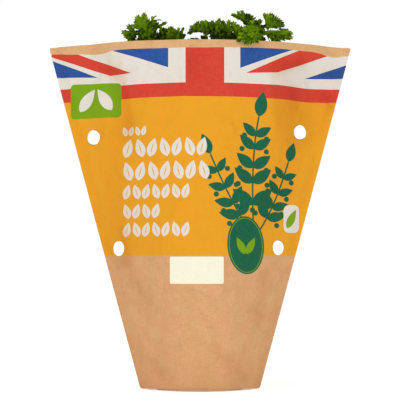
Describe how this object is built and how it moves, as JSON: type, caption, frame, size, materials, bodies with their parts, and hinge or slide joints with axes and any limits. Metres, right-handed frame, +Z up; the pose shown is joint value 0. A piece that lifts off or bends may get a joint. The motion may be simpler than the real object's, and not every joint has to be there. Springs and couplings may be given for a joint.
{
  "type": "potted curly parsley",
  "caption": "Curly parsley growing in a round plastic pot, stood in a tapered two-panel kraft paper sleeve with vent holes and a small label.",
  "frame": {"origin": "centre of the pot's foot, on the surface the pot and the sleeve stand on", "axes": "+Z up along the height, -Y towards the front panel, X across the width of the sleeve"},
  "size_m": [0.2428, 0.1049, 0.303],
  "materials": {
    "kraft_paper": "matte uncoated brown kraft paper, flexo printed, soft folds",
    "label_paper": "matte smooth cream label paper",
    "pot_plastic": "satin moulded light brown polypropylene",
    "potting_soil": "matte moist peat-free compost, crumbs of wood fibre and bark",
    "parsley_leaf": "satin fresh curly parsley leaf with a thin waxy skin"
  },
  "bodies": {
    "root": {"paper_sleeve": "kraft_paper", "date_label": "label_paper", "plastic_pot": "pot_plastic", "potting_soil": "potting_soil", "frond_01": "parsley_leaf", "frond_02": "parsley_leaf", "frond_03": "parsley_leaf", "frond_04": "parsley_leaf", "frond_05": "parsley_leaf", "frond_06": "parsley_leaf", "frond_07": "parsley_leaf", "frond_08": "parsley_leaf", "frond_09": "parsley_leaf", "frond_10": "parsley_leaf", "frond_11": "parsley_leaf", "frond_12": "parsley_leaf", "frond_13": "parsley_leaf", "frond_14": "parsley_leaf", "frond_15": "parsley_leaf", "frond_16": "parsley_leaf", "frond_17": "parsley_leaf", "frond_18": "parsley_leaf", "frond_19": "parsley_leaf", "frond_20": "parsley_leaf", "frond_21": "parsley_leaf", "frond_22": "parsley_leaf", "frond_23": "parsley_leaf", "frond_24": "parsley_leaf", "frond_25": "parsley_leaf", "frond_26": "parsley_leaf", "frond_27": "parsley_leaf"}
  },
  "joints": []
}
